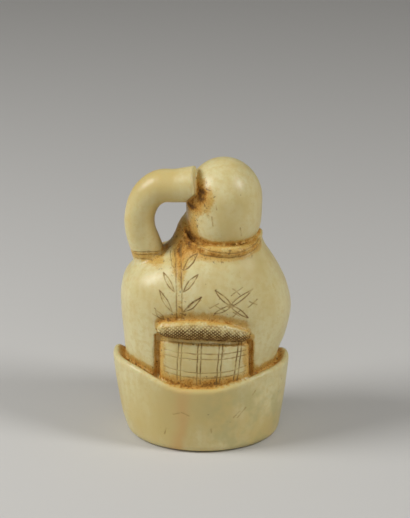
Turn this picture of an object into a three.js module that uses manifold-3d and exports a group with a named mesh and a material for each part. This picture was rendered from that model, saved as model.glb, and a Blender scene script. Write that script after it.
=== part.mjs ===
// A netsuke carved from one block of ivory: a bald figure in a kimono sits in an oval tub and
// bends a bare left arm round to its head. The back sash is tied as a flat drum under a padded roll.
// Millimetres, +Z up, origin at the middle of the tub's flat underside. The figure faces -Y,
// so its left arm is on the +X side.
import * as THREE from "three";
import { mergeVertices } from "three/addons/utils/BufferGeometryUtils.js";
import Module from "manifold-3d";

const wasm = await Module();
wasm.setup();

// ---- driving dimensions -------------------------------------------------------------------------

// Levels of a stacked form: [z, +X side, -X side, back (+Y), front (-Y)].
const TUB_LEVELS = [
  [0, 12.5, -12.5, 10.6, -10.4],
  [1.2, 13.0, -12.75, 10.8, -10.6],
  [3, 13.65, -13.1, 11.0, -10.9],
  [6, 14.3, -13.6, 11.25, -11.2],
  [9, 14.8, -14.0, 11.45, -11.45],
  [11.6, 15.1, -14.3, 11.6, -11.6],
];
const TUB = {
  rim: 11.6,
  riseLeft: 2.7,
  riseRight: 1.9,
  lean: 1.0,
  lip: 0.9,
  groove: 2.6,
  depth: 0.9,
  base: 0.7,
};

const ROBE_LEVELS = [
  [6, 11.6, -11.0, 8.4, -8.8],
  [11, 12.4, -11.8, 8.9, -9.5],
  [14.7, 13.0, -12.5, 9.2, -10.0],
  [18, 13.3, -13.7, 9.7, -10.3],
  [22.3, 13.6, -14.45, 10.2, -10.5],
  [25.8, 13.5, -13.8, 10.2, -10.1],
  [28.6, 12.5, -12.6, 9.5, -9.3],
  [31, 9.4, -11.2, 8.4, -8.1],
  [32.4, 5.6, -10.3, 7.4, -7.0],
  [34.4, 2.4, -9.4, 6.2, -5.8],
];
const ROBE_SQUARENESS = 2.3;

const HEAD = { x: -3.35, y: 0, z: 40.9, rx: 6.2, ry: 6.5, up: 6.6, down: 7.7, jaw: 3.6 };

// The sash: the recess it is sunk in, the drum that fills it, and the padded roll over the drum.
const RECESS = { left: 8.2, right: -8.3, top: 20.4, depth: 0.8, corner: 1.0 };
const DRUM = { left: 7.1, right: -7.4, top: 19.4, bottom: 9.5, face: 10.55, sink: 2.3 };
const STRAP = { top: 21, bottom: 18, face: 9.95 };
const ROLL = {
  path: [
    [6.7, 9.0, 21.5], [3.6, 9.75, 21.75], [0, 10.0, 21.75], [-4, 9.65, 21.25], [-6.9, 8.9, 20.35],
  ],
  radius: 1.55,
  endRadius: 1.15,
  flatness: 0.84,
};

const ARM = {
  path: [
    [8.3, 0.3, 28], [9.3, 0.4, 32.4], [10.3, 0.7, 35.8], [10.3, 1.0, 38.6], [9.1, 1.3, 41.65],
    [7.0, 1.6, 43.3], [4.4, 1.9, 43.5], [1.1, 2.3, 43.9],
  ],
  radius: [2.6, 2.65, 2.5, 2.45, 2.6, 2.72, 2.72, 2.98],
};

const COLLAR = {
  nape: { y: 6.35, z: 33.7, overlap: 2.4 },
  left: { x: 3.3, y: -0.8, z: 36.1 },
  right: { x: -9.25, y: -0.8, z: 34.6 },
  cross: { x: -2.6, y: -9.2, z: 28.4 },
  tail: { y: -10.1, z: 23.2 },
  thick: 0.7,
  tall: 0.85,
};
// The left side of the robe rises round the neck, and the shoulders fill up to the nape.
const FLARE = { path: [[2.9, -1.3, 30], [1.5, -1.5, 35], [0.2, -1.6, 39]], radius: [3.1, 2.8, 1.6] };
const NAPE_FILL = { centre: [-3.35, 0, 32.4], radii: [6.1, 6.5, 2.5] };
const NECK = { x: -3.35, y: -1.2, z: 32.6, radius: 4.2, length: 9 };

// The hidden front: the sash goes round as a band with a cord, and the right sleeve lies over it.
const FRONT_RECESS = { left: 7.4, right: -7.0, top: 20.6, depth: 1.0, corner: 1.0 };
const FRONT_SASH = { left: 6.9, right: -6.6, top: 19.4, bottom: 9.5, face: -10.6, sink: 2.6 };
const FRONT_CORD = { z: 15.2, face: -10.55, radius: 0.55, reach: 6.4 };
const SLEEVE = {
  path: [[-12.2, -2.5, 23.6], [-11.2, -6.6, 21.9], [-7.6, -9.6, 21.2], [-3.4, -10.6, 21.5]],
  radius: [2.6, 2.8, 2.75, 2.7],
};
const HAND = { wrist: [-3.6, -10.9, 21.6], knuckles: [0.3, -11.0, 21.9], radius: 1.5, fingers: 4 };

const FACE = {
  brow: { x: 2.35, z: 2.0, length: 2.0, radius: 0.5 },
  eye: { x: 2.35, z: 0.55, radii: [1.25, 0.6, 0.62] },
  nose: { z: -0.55, radii: [0.72, 0.95, 1.75], tip: { z: -1.75, radii: [1.02, 0.85, 0.62] } },
  mouth: { z: -3.3, half: 1.35, radius: 0.42, gap: 0.34 },
  chin: { z: -5.1, radii: [1.9, 1.5, 1.3] },
  cheek: { x: 3.3, z: -2.2, radii: [1.8, 1.3, 1.9] },
  ear: { x: 5.6, y: -1.7, z: -0.6, radii: [0.75, 0.95, 2.0] },
};

// ---- helpers ------------------------------------------------------------------------------------

const { lerp, smoothstep } = THREE.MathUtils;

// A closed three.js geometry as a manifold-3d solid with its faces pointing out.
function solidOf(geometry) {
  const bare = geometry.clone();
  bare.deleteAttribute("normal");
  bare.deleteAttribute("uv");
  const merged = mergeVertices(bare, 1e-4);
  const build = (triVerts) =>
    new wasm.Manifold(
      new wasm.Mesh({ numProp: 3, vertProperties: merged.attributes.position.array, triVerts }),
    );
  const triVerts = new Uint32Array(merged.index.array);
  const solid = build(triVerts);
  return solid.volume() > 0 ? solid : build(triVerts.reverse());
}

// Moves every vertex of a geometry by a function of its place.
function shaped(geometry, place) {
  const position = geometry.attributes.position;
  const v = new THREE.Vector3();
  for (let i = 0; i < position.count; i++) {
    place(v.fromBufferAttribute(position, i));
    position.setXYZ(i, v.x, v.y, v.z);
  }
  return geometry;
}

// The extents [+X, -X, back, front] of a stacked form at height z, on a smooth curve through its levels.
function extents(levels, z) {
  const last = levels.length - 1;
  let i = levels.findIndex((level) => level[0] > z) - 1;
  if (z <= levels[0][0]) i = 0;
  if (i < 0) i = last - 1;
  const t = THREE.MathUtils.clamp((z - levels[i][0]) / (levels[i + 1][0] - levels[i][0]), 0, 1);
  const before = levels[Math.max(i - 1, 0)];
  const after = levels[Math.min(i + 2, last)];
  return [1, 2, 3, 4].map((k) => {
    const span = levels[i + 1][0] - levels[i][0];
    const slopeIn = ((levels[i + 1][k] - before[k]) / (levels[i + 1][0] - before[0])) * span;
    const slopeOut = ((after[k] - levels[i][k]) / (after[0] - levels[i][0])) * span;
    const t2 = t * t;
    const t3 = t2 * t;
    return (
      (2 * t3 - 3 * t2 + 1) * levels[i][k] +
      (t3 - 2 * t2 + t) * slopeIn +
      (3 * t2 - 2 * t3) * levels[i + 1][k] +
      (t3 - t2) * slopeOut
    );
  });
}

// Places a direction (cos, sin) at a share of the way out to the superellipse of those extents.
function onSection([left, right, back, front], cos, sin, share, squareness, inset = 0) {
  const power = 2 / squareness;
  const reach = (c) => Math.sign(c) * Math.abs(c) ** power;
  return [
    (left + right) / 2 + ((left - right) / 2 - inset) * share * reach(cos),
    (back + front) / 2 + ((back - front) / 2 - inset) * share * reach(sin),
  ];
}

// A stacked form: round slices from the lowest level to the highest, closed flat at both ends.
function stack(levels, squareness, segments, rows, inset = 0) {
  const low = levels[0][0];
  const high = levels.at(-1)[0];
  const profile = [new THREE.Vector2(0, low)];
  for (let i = 0; i <= rows; i++) profile.push(new THREE.Vector2(1, lerp(low, high, i / rows)));
  profile.push(new THREE.Vector2(0, high));
  return solidOf(
    shaped(new THREE.LatheGeometry(profile, segments), (v) => {
      const share = Math.hypot(v.x, v.z);
      const cos = share ? v.x / share : 0;
      const sin = share ? v.z / share : 0;
      const [x, y] = onSection(extents(levels, v.y), cos, sin, share, squareness, inset);
      v.set(x, y, v.y);
    }),
  );
}

function ellipsoid([x, y, z], [rx, ry, rz], segments = 16, rows = 10) {
  return solidOf(new THREE.SphereGeometry(1, segments, rows).scale(rx, ry, rz).translate(x, y, z));
}

const curveOf = (points) =>
  new THREE.CatmullRomCurve3(points.map((p) => new THREE.Vector3(...p)), false, "centripetal");

// A value along a list of evenly spaced ones.
function along(values, t) {
  const at = Math.min(t, 0.9999) * (values.length - 1);
  return lerp(values[Math.floor(at)], values[Math.floor(at) + 1], at % 1);
}

// Bends a closed cylinder or sphere of radius 1, standing from y = 0 to 1, along a curve.
// radii(t) gives the half-thickness along `outward` and across it.
function sweep(base, curve, radii, outward) {
  const side = new THREE.Vector3();
  const out = new THREE.Vector3();
  return solidOf(
    shaped(base, (v) => {
      const t = THREE.MathUtils.clamp(v.y, 0, 1);
      const centre = curve.getPoint(t);
      const tangent = curve.getTangent(t);
      out.copy(outward(centre)).addScaledVector(tangent, -outward(centre).dot(tangent)).normalize();
      side.crossVectors(tangent, out);
      const [thick, wide] = radii(t);
      const [a, b] = [v.x * thick, v.z * wide];
      v.copy(centre).addScaledVector(out, a).addScaledVector(side, b);
    }),
  );
}

const rod = (segments, rows) =>
  new THREE.CylinderGeometry(1, 1, 1, segments, rows).translate(0, 0.5, 0);

// A rod with round ends: its radius follows a half circle over `end` of its length.
const rounded = (radius, end = 0.08) => (t) => {
  const near = Math.min(t, 1 - t) / end;
  const share = near < 1 ? Math.sqrt(Math.max(1 - (1 - near) ** 2, 0.04)) : 1;
  return [radius(t) * share, radius(t) * share];
};

const union = (solids) => solids.reduce((all, next) => all.add(next));

// ---- the tub ------------------------------------------------------------------------------------

// How far the rim rises above its lowest point. Its two horns lean towards the back.
function rimRise(cos, sin) {
  const lean = TUB.lean * Math.min(sin, 0);
  const left = TUB.riseLeft * smoothstep(cos + lean, 0.2, 0.88);
  const right = TUB.riseRight * smoothstep(-cos + lean, 0.1, 0.88);
  return left + right;
}

function makeTub() {
  const { rim, lip, groove, depth, base } = TUB;
  const inner = (distance) => 1 - distance / 13;
  const profile = [
    [0, 0], [inner(base + 0.2), 0], [inner(0.15), 0.3], [1, 1], [1, 3.4], [1, 6.4], [1, 9.2],
    [1, rim - 0.5], [inner(0.15), rim - 0.12], [inner(0.45), rim], [inner(lip), rim - 0.12],
    [inner((lip + groove) / 2), rim - depth * 0.65], [inner(groove), rim - depth], [0, rim - depth],
  ];
  const points = profile.map(([share, z]) => new THREE.Vector2(share, z));
  return solidOf(
    shaped(new THREE.LatheGeometry(points, 48), (v) => {
      const share = Math.hypot(v.x, v.z);
      const cos = share ? v.x / share : 0;
      const sin = share ? v.z / share : 0;
      const [x, y] = onSection(extents(TUB_LEVELS, v.y), cos, sin, share, 2);
      const lift = share > 0.3 ? rimRise(cos, sin) : 0;
      v.set(x, y, v.y * (1 + lift / rim));
    }),
  );
}

// ---- the robe and its sash ----------------------------------------------------------------------

// A block with round corners, standing across the front or the back of the robe.
function slab({ left, right, top, bottom = 4, corner = 1 }, near, far) {
  const outline = new THREE.Shape();
  outline.moveTo(right, bottom);
  outline.lineTo(left, bottom);
  outline.lineTo(left, top - corner);
  outline.absarc(left - corner, top - corner, corner, 0, Math.PI / 2);
  outline.lineTo(right + corner, top);
  outline.absarc(right + corner, top - corner, corner, Math.PI / 2, Math.PI);
  const block = new THREE.ExtrudeGeometry(outline, {
    depth: Math.abs(far - near),
    bevelEnabled: false,
    curveSegments: 4,
  });
  return solidOf(block.rotateX(Math.PI / 2).translate(0, Math.max(near, far), 0));
}

// A sash panel: a block whose outer face is crowned both ways and rounds off at its edges.
function panel({ left, right, top, bottom, face, sink }) {
  const outward = Math.sign(face);
  const middle = (left + right) / 2;
  const half = (left - right) / 2;
  const block = new THREE.BoxGeometry(2, 2, 1, 14, 1, 4);
  return solidOf(
    shaped(block, (v) => {
      const up = v.z + 0.5;
      const across = Math.abs(v.x);
      const crown = sink * across ** 2.6 * 0.85 + 0.5 * (2 * up - 1) ** 4;
      const z = lerp(bottom, top, up);
      const y = v.y > 0 ? Math.abs(face) - crown : 4;
      v.set(middle + v.x * half, outward * y, z);
    }),
  );
}

function makeRobe() {
  const robe = stack(ROBE_LEVELS, ROBE_SQUARENESS, 44, 13);
  const backFloor = stack(ROBE_LEVELS, ROBE_SQUARENESS, 44, 13, RECESS.depth);
  const frontFloor = stack(ROBE_LEVELS, ROBE_SQUARENESS, 44, 13, FRONT_RECESS.depth);
  const backCut = slab(RECESS, 2, 14).subtract(backFloor);
  const frontCut = slab(FRONT_RECESS, -14, -2).subtract(frontFloor);
  return robe.subtract(backCut).subtract(frontCut);
}

function makeBackSash() {
  const path = curveOf(ROLL.path);
  const swell = (t) => lerp(ROLL.endRadius, ROLL.radius, Math.max(Math.sin(Math.PI * t), 0) ** 0.6);
  const section = (t) => [rounded(swell, 0.05)(t)[0], rounded(swell, 0.05)(t)[0] * ROLL.flatness];
  const up = () => new THREE.Vector3(0, 0, 1);
  return union([
    panel(DRUM),
    panel({ ...DRUM, ...STRAP }),
    sweep(rod(10, 16), path, section, up),
  ]);
}

function makeFrontSash() {
  const { z, face, radius, reach } = FRONT_CORD;
  const cordPath = curveOf(
    [-1, -0.5, 0, 0.5, 1].map((s) => [s * reach, face + 2.1 * Math.abs(s) ** 2.6, z]),
  );
  const up = () => new THREE.Vector3(0, 0, 1);
  return union([panel(FRONT_SASH), sweep(rod(8, 12), cordPath, () => [radius * 1.3, radius], up)]);
}

// ---- the collar, neck and sleeves ---------------------------------------------------------------

// One side of the collar runs from the nape over a shoulder and down to the sash, past the middle.
function collarSide(side, lift) {
  const { nape, cross, tail, thick, tall } = COLLAR;
  const turn = Math.sign(side.x - HEAD.x);
  const points = [
    [HEAD.x - turn * nape.overlap, nape.y * 0.95, nape.z],
    [HEAD.x, nape.y, nape.z],
    [HEAD.x + turn * nape.overlap, nape.y * 0.95, nape.z],
    [lerp(HEAD.x, side.x, 0.84), nape.y * 0.58, lerp(nape.z, side.z, 0.3)],
    [side.x, side.y, side.z],
    [lerp(HEAD.x, side.x, 0.86), -5.2, side.z - 1.9],
    [lerp(cross.x, side.x, 0.3), cross.y + 0.9 - lift, cross.z + 2.2],
    [cross.x - (side.x - HEAD.x) * 0.22, cross.y - 0.2 - lift, cross.z - 2.0],
    [cross.x - (side.x - HEAD.x) * 0.42, tail.y - lift, tail.z],
  ];
  const outward = (p) => new THREE.Vector3(p.x - HEAD.x, p.y + 1, 1.2);
  return sweep(rod(8, 22), curveOf(points), () => [thick, tall], outward);
}

function makeCollar() {
  const back = () => new THREE.Vector3(0, 1, 0);
  return union([
    collarSide(COLLAR.right, 0),
    collarSide(COLLAR.left, 0.35),
    sweep(rod(14, 6), curveOf(FLARE.path), (t) => [along(FLARE.radius, t), along(FLARE.radius, t)], back),
    ellipsoid(NAPE_FILL.centre, NAPE_FILL.radii, 20, 10),
  ]);
}

function makeNeck() {
  const throat = new THREE.CylinderGeometry(NECK.radius, NECK.radius, NECK.length, 24);
  return solidOf(throat.rotateX(Math.PI / 2).translate(NECK.x, NECK.y, NECK.z));
}

function makeRaisedArm() {
  const back = () => new THREE.Vector3(0, 1, 0);
  const radii = (t) => [along(ARM.radius, t), along(ARM.radius, t)];
  return sweep(rod(16, 20), curveOf(ARM.path), radii, back);
}

function makeRestingArm() {
  const up = () => new THREE.Vector3(0, 0, 1);
  const radii = (t) => [along(SLEEVE.radius, t), along(SLEEVE.radius, t) * 0.8];
  const sleeve = sweep(rod(14, 14), curveOf(SLEEVE.path), radii, up);
  const palm = sweep(
    rod(10, 6),
    curveOf([HAND.wrist, HAND.knuckles]),
    rounded(() => HAND.radius, 0.3),
    up,
  );
  const fingers = Array.from({ length: HAND.fingers }, (_, i) => {
    const z = HAND.knuckles[2] + 1.15 - i * 0.72;
    const reach = 2.2 - Math.abs(i - 1.2) * 0.4;
    const tip = [HAND.knuckles[0] + reach, HAND.knuckles[1] + 0.55, z - 0.35];
    return sweep(
      rod(6, 5),
      curveOf([[HAND.knuckles[0] - 0.8, HAND.knuckles[1] - 0.15, z], tip]),
      rounded(() => 0.42, 0.25),
      up,
    );
  });
  return union([sleeve, palm, ...fingers]);
}

// ---- the head -----------------------------------------------------------------------------------

// How wide the skull is at height z from its centre, as a share of its width there: round above,
// and fuller than a ball below, where the nape and jaw go down into the collar.
function skullWidth(z) {
  const [reach, power] = z > 0 ? [HEAD.up, 2] : [HEAD.down, HEAD.jaw];
  return Math.max(1 - Math.min(Math.abs(z) / reach, 1) ** power, 0) ** (1 / power);
}

// The front of the skull draws in towards the chin.
const jawTaper = (y, z) => 1 - 0.16 * smoothstep(-z, 0, HEAD.down) * smoothstep(-y, -0.2, 1);

function makeSkull() {
  return solidOf(
    shaped(new THREE.SphereGeometry(1, 28, 18).rotateX(Math.PI / 2), (v) => {
      const round = Math.hypot(v.x, v.y) || 1;
      const z = v.z > 0 ? v.z * HEAD.up : -((-v.z) ** (2 / HEAD.jaw)) * HEAD.down;
      const width = skullWidth(z) * jawTaper(v.y / round, z);
      v.set(
        HEAD.x + (v.x / round) * width * HEAD.rx,
        HEAD.y + (v.y / round) * width * HEAD.ry,
        HEAD.z + z,
      );
    }),
  );
}

// Where the skull's surface is at (x, z) from the head's centre, on its front.
function faceDepth(x, z) {
  const width = skullWidth(z) * jawTaper(-0.9, z);
  return -HEAD.ry * Math.sqrt(Math.max(width ** 2 - (x / HEAD.rx) ** 2, 0.02));
}

function onFace(x, z, sink, radii, segments = 10, rows = 8) {
  return ellipsoid([HEAD.x + x, HEAD.y + faceDepth(x, z) + sink, HEAD.z + z], radii, segments, rows);
}

function lip(z, radius) {
  const points = [-1, 0, 1].map((s) => {
    const x = s * FACE.mouth.half;
    return [HEAD.x + x, HEAD.y + faceDepth(x, z) - 0.05, HEAD.z + z + 0.14 * s * s];
  });
  const up = () => new THREE.Vector3(0, 0, 1);
  return sweep(rod(6, 8), curveOf(points), rounded(() => radius, 0.3), up);
}

function brow(side) {
  const { x, z, length, radius } = FACE.brow;
  const points = [-1, 0, 1].map((s) => {
    const across = side * (x + (s * length) / 2);
    const rise = z - 0.28 * s * s;
    return [HEAD.x + across, HEAD.y + faceDepth(across, rise) + 0.2, HEAD.z + rise];
  });
  const up = () => new THREE.Vector3(0, 0, 1);
  return sweep(rod(6, 8), curveOf(points), rounded(() => radius, 0.3), up);
}

function makeHead() {
  const { eye, nose, mouth, chin, cheek, ear } = FACE;
  const pairs = [-1, 1].flatMap((side) => [
    onFace(side * cheek.x, cheek.z, 1.05, cheek.radii),
    onFace(side * eye.x, eye.z, 0.25, eye.radii, 10, 6),
    brow(side),
    ellipsoid([HEAD.x + side * ear.x, HEAD.y + ear.y, HEAD.z + ear.z], ear.radii, 8, 8),
  ]);
  return union([
    makeSkull(),
    ...pairs,
    onFace(0, nose.z, -0.1, nose.radii),
    onFace(0, nose.tip.z, -0.35, nose.tip.radii),
    onFace(0, chin.z, 0.8, chin.radii),
    lip(mouth.z + mouth.gap, mouth.radius * 0.85),
    lip(mouth.z - mouth.gap, mouth.radius),
  ]);
}

// ---- the netsuke --------------------------------------------------------------------------------

const carving = union([
  makeTub(),
  makeRobe(),
  makeBackSash(),
  makeFrontSash(),
  makeNeck(),
  makeCollar(),
  makeRestingArm(),
  makeHead(),
  makeRaisedArm(),
]);

const surface = carving.getMesh();
const geometry = new THREE.BufferGeometry();
geometry.setAttribute("position", new THREE.BufferAttribute(surface.vertProperties, 3));
geometry.setIndex(new THREE.BufferAttribute(surface.triVerts, 1));
geometry.computeVertexNormals();

const ivory = new THREE.MeshStandardMaterial({ color: 0xd9c793, roughness: 0.34, metalness: 0 });
const netsuke = new THREE.Mesh(geometry, ivory);
netsuke.name = "netsuke";

const root = new THREE.Group();
root.add(netsuke);

export default root;
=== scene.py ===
# An ivory netsuke: a bald figure in a kimono sits in an oval tub with a bare arm bent round to its head.
# The whole carving is one closed surface. It is worked out in millimetres and scaled to metres at the end.
# The figure faces -Y, so its left arm is on the +X side.
import math

import bpy
import numpy as np
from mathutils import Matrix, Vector


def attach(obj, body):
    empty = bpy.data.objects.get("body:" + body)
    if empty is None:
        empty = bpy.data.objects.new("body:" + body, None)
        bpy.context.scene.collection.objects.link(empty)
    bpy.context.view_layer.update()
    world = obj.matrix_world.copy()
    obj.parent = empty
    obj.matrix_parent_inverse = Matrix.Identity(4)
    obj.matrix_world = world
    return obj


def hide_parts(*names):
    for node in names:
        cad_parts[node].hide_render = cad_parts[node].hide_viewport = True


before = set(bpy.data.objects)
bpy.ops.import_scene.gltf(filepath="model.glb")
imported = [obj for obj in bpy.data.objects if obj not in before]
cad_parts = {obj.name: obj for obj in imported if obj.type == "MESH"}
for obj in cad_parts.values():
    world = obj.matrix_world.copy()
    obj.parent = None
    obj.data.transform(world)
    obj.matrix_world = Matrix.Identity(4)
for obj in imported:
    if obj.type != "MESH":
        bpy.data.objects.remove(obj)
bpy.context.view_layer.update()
mm = 0.001


# Small sums on arrays of distances.

def fade(value, low, high):
    t = np.clip((value - low) / (high - low), 0, 1)
    return t * t * (3 - 2 * t)


def blendMin(a, b, k):
    h = np.clip(0.5 + 0.5 * (b - a) / k, 0, 1)
    return b + (a - b) * h - k * h * (1 - h)


def blendMax(a, b, k):
    return -blendMin(-a, -b, k)


# 1 up to full, and down to 0 at gone.
def upTo(value, full, gone):
    return fade(-value, -gone, -full)


def bump(value, width):
    return np.exp(-((value / width) ** 2))


def lengths(vectors):
    return np.sqrt(np.einsum("ij,ij->i", vectors, vectors))


# A soft round patch: 1 in its middle and next to nothing past its reach.
def zone(points, centre, reach):
    return bump(lengths((points - centre) / reach), 1.0)


# Soft random lumps about one unit across, the same every time.
lattice = np.random.default_rng(11).random((32, 32, 32))


def lumps(points, size, shift=0.0):
    q = points / size + shift
    cell = np.floor(q).astype(int)
    t = q - cell
    t = t * t * (3 - 2 * t)
    total = 0
    for corner in np.ndindex(2, 2, 2):
        weight = np.prod(np.where(corner, t, 1 - t), axis=1)
        i, j, k = ((cell + corner) % 32).T
        total = total + weight * lattice[i, j, k]
    return total * 2 - 1


# Works a shape out only near its own box, and far away everywhere else.
def near(points, low, high, shape, margin=2.6):
    inside = np.all((points > np.array(low) - margin) & (points < np.array(high) + margin), axis=1)
    value = np.full(len(points), 9.0)
    if inside.any():
        value[inside] = shape(points[inside])
    return value


def bendThrough(places, count):
    p = np.array(places, float)
    p = np.vstack([2 * p[0] - p[1], p, 2 * p[-1] - p[-2]])
    last = len(places) - 1
    out = []
    for t in np.linspace(0, last, count):
        i = min(int(t), last - 1)
        w = t - i
        a, b, c, d = p[i:i + 4]
        ab, bc, cd = (max(np.sum((v - u) ** 2) ** 0.25, 1e-4) for u, v in ((a, b), (b, c), (c, d)))
        into = ((b - a) / ab - (c - a) / (ab + bc) + (c - b) / bc) * bc
        away = ((c - b) / bc - (d - b) / (bc + cd) + (d - c) / cd) * bc
        out.append(
            (2 * w**3 - 3 * w**2 + 1) * b + (w**3 - 2 * w**2 + w) * into
            + (3 * w**2 - 2 * w**3) * c + (w**3 - w**2) * away
        )
    return np.array(out)


# A bent rod whose radius runs through the list. squash shrinks it along an axis.
def rod(places, radii, count=20, squash=(1, 1, 1)):
    squash = np.array(squash, float)
    line = bendThrough(places, count)
    radius = np.interp(np.linspace(0, 1, count), np.linspace(0, 1, len(radii)), radii)
    spread = radius.max() * squash.max()

    def distance(points):
        q = points / squash
        path = line / squash
        best = np.full(len(q), np.inf)
        for i in range(count - 1):
            step = path[i + 1] - path[i]
            off = q - path[i]
            t = np.clip(off @ step / (step @ step), 0, 1)
            away = lengths(off - t[:, None] * step)
            best = np.minimum(best, away - (radius[i] + (radius[i + 1] - radius[i]) * t))
        return best * squash.min()

    return lambda points: near(points, line.min(0) - spread, line.max(0) + spread, distance)


def ball(centre, radii):
    centre = np.array(centre, float)
    radii = np.array(radii, float)

    def distance(points):
        q = (points - centre) / radii
        rho = lengths(q)
        return rho * (rho - 1) / np.maximum(lengths(q / radii), 1e-6)

    return lambda points: near(points, centre - radii, centre + radii, distance)


# Stacked forms: the tub and the robe. Each level is its height, then where its +X side, -X side, back and front lie.

tub = {
    "levels": [
        (0, 12.5, -12.5, 10.6, -10.4), (1.2, 13.0, -12.75, 10.8, -10.6), (3, 13.65, -13.1, 11.0, -10.9),
        (6, 14.3, -13.6, 11.25, -11.2), (9, 14.8, -14.0, 11.45, -11.45), (11.6, 15.1, -14.3, 11.6, -11.6),
    ],
    "rim": 11.6,
    "riseLeft": 2.7,
    "riseRight": 1.9,
    "lean": 1.0,
    "groove": 0.9,
    "lip": 0.55,
    "edge": 0.58,
    "foot": 1.3,
}
robe = {
    "levels": [
        (6, 11.6, -11.0, 8.4, -8.8), (11, 12.4, -11.8, 8.9, -9.5), (14.7, 13.0, -12.5, 9.2, -10.0),
        (18, 13.3, -13.7, 9.7, -10.3), (22.3, 13.6, -14.45, 10.2, -10.5), (25.8, 13.5, -13.8, 10.2, -10.1),
        (28.6, 12.5, -12.6, 9.5, -9.3), (31, 9.4, -11.2, 8.4, -8.1), (32.4, 5.6, -10.3, 7.4, -7.0),
        (34.4, 2.4, -9.4, 6.2, -5.8),
    ],
    "squareness": 2.3,
    "hollow": 0.45,
}


def extents(levels, z):
    table = np.array(levels, float)
    heights = table[:, 0]
    last = len(heights) - 1
    i = np.clip(np.searchsorted(heights, z, side="right") - 1, 0, last - 1)
    before = np.maximum(i - 1, 0)
    after = np.minimum(i + 2, last)
    span = (heights[i + 1] - heights[i])[:, None]
    t = np.clip((z - heights[i])[:, None] / span, 0, 1)
    into = (table[i + 1] - table[before]) / (heights[i + 1] - heights[before])[:, None] * span
    away = (table[after] - table[i]) / (heights[after] - heights[i])[:, None] * span
    value = (
        (2 * t**3 - 3 * t**2 + 1) * table[i] + (t**3 - 2 * t**2 + t) * into
        + (3 * t**2 - 2 * t**3) * table[i + 1] + (t**3 - t**2) * away
    )
    return value[:, 1:].T


def section(levels, power, points, z=None):
    z = points[:, 2] if z is None else z
    left, right, back, front = extents(levels, z)
    halfX, halfY = (left - right) / 2, (back - front) / 2
    u, w = points[:, 0] - (left + right) / 2, points[:, 1] - (back + front) / 2
    rho = (np.abs(u / halfX) ** power + np.abs(w / halfY) ** power) ** (1 / power)
    reach = np.where(rho > 1e-3, np.hypot(u, w) / np.maximum(rho, 1e-3), halfY)
    return rho, reach, u, w, halfX, halfY


# How steeply a stacked form leans, so that its distances stay true on its shoulders.
def leaning(levels, points, u, w):
    above = extents(levels, points[:, 2] + 0.3)
    below = extents(levels, points[:, 2] - 0.3)
    left, right, back, front = (above - below) / 0.6
    r2 = np.maximum(u * u + w * w, 1e-6)
    slopeX = np.where(u > 0, left, right)
    slopeY = np.where(w > 0, back, front)
    return 1 / np.sqrt(1 + (u * u * slopeX**2 + w * w * slopeY**2) / r2)


def tubShape(points):
    u, w, halfX, halfY = section(tub["levels"], 2, points)[2:]
    share = np.maximum(np.hypot(u / halfX, w / halfY), 1e-3)
    cos, sin = u / halfX / share, w / halfY / share
    lean = tub["lean"] * np.minimum(sin, 0)
    rise = tub["riseLeft"] * fade(cos + lean, 0.2, 0.88)
    rise += tub["riseRight"] * fade(-cos + lean, 0.1, 0.88)
    z = points[:, 2] / (1 + rise / tub["rim"] * fade(share, 0.2, 0.4))
    rho, reach = section(tub["levels"], 2, points, z)[:2]
    side = (rho - 1) * reach * 0.99
    inward = -side
    top = tub["rim"] - tub["groove"] * fade(inward, tub["lip"], 2.5) + 0.05 * bump(inward - 0.7, 0.4)
    body = blendMax(side, (z - top) * 0.95, tub["edge"])
    return blendMax(body, -points[:, 2], tub["foot"])


# The top edge of the padded roll, and the dip in the robe just over it.
def rollTop(x):
    return 23.1 - 0.0285 * (x - 1) ** 2


recess = {"left": 7.85, "right": -7.95, "top": 20.0, "tilt": 0.06, "depth": 0.8}
frontRecess = {"left": 7.4, "right": -7.0, "top": 20.6, "tilt": 0, "depth": 1.0}


def sunk(points, body, outer, cut, outward):
    x, y, z = points.T
    middle, half = (cut["left"] + cut["right"]) / 2, (cut["left"] - cut["right"]) / 2
    walls = blendMax(np.abs(x - middle) - half, z - cut["top"] - cut["tilt"] * x, 0.8)
    block = blendMax(walls, 2 - y * outward, 0.3)
    return blendMax(body, blendMin(-block, outer + cut["depth"], 0.6), 0.5)


def robeShape(points):
    rho, reach, u, w = section(robe["levels"], robe["squareness"], points)[:4]
    outer = (rho - 1) * reach * leaning(robe["levels"], points, u, w)
    x, y, z = points.T
    over = z - rollTop(x) - 0.55
    outer = outer + robe["hollow"] * bump(over, 1.0) * upTo(np.abs(x + 0.1), 6.6, 8.6) * fade(y, 2, 4)
    body = sunk(points, outer, outer, recess, 1)
    body = sunk(points, body, outer, frontRecess, -1)
    return np.maximum(blendMax(body, z - 34.4, 0.8), 4 - z)


# The back sash: a flat drum under a strap and a padded roll. Each panel is crowned and rounds off:
# face is how far out its middle lies, sink how far back its sides do.
drum = {"left": 7.1, "right": -7.4, "top": 19.2, "tilt": 0.06, "bottom": 9.5, "face": 10.55, "sink": 2.1}
strap = {"left": 7.1, "right": -7.4, "top": 21, "tilt": 0.045, "bottom": 18, "face": 9.85, "sink": 2.1}
frontSash = {"left": 6.9, "right": -6.6, "top": 19.4, "tilt": 0, "bottom": 9.5, "face": 10.6, "sink": 2.3}
roll = rod(
    [(6.2, 9.1, 21.5), (3.6, 9.75, 21.7), (0.4, 10.0, 21.7), (-3.6, 9.75, 21.25), (-6.3, 9.05, 20.4)],
    [1.3, 1.45, 1.58, 1.6, 1.55, 1.35, 1.1], 16, (1, 0.85, 1),
)


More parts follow.
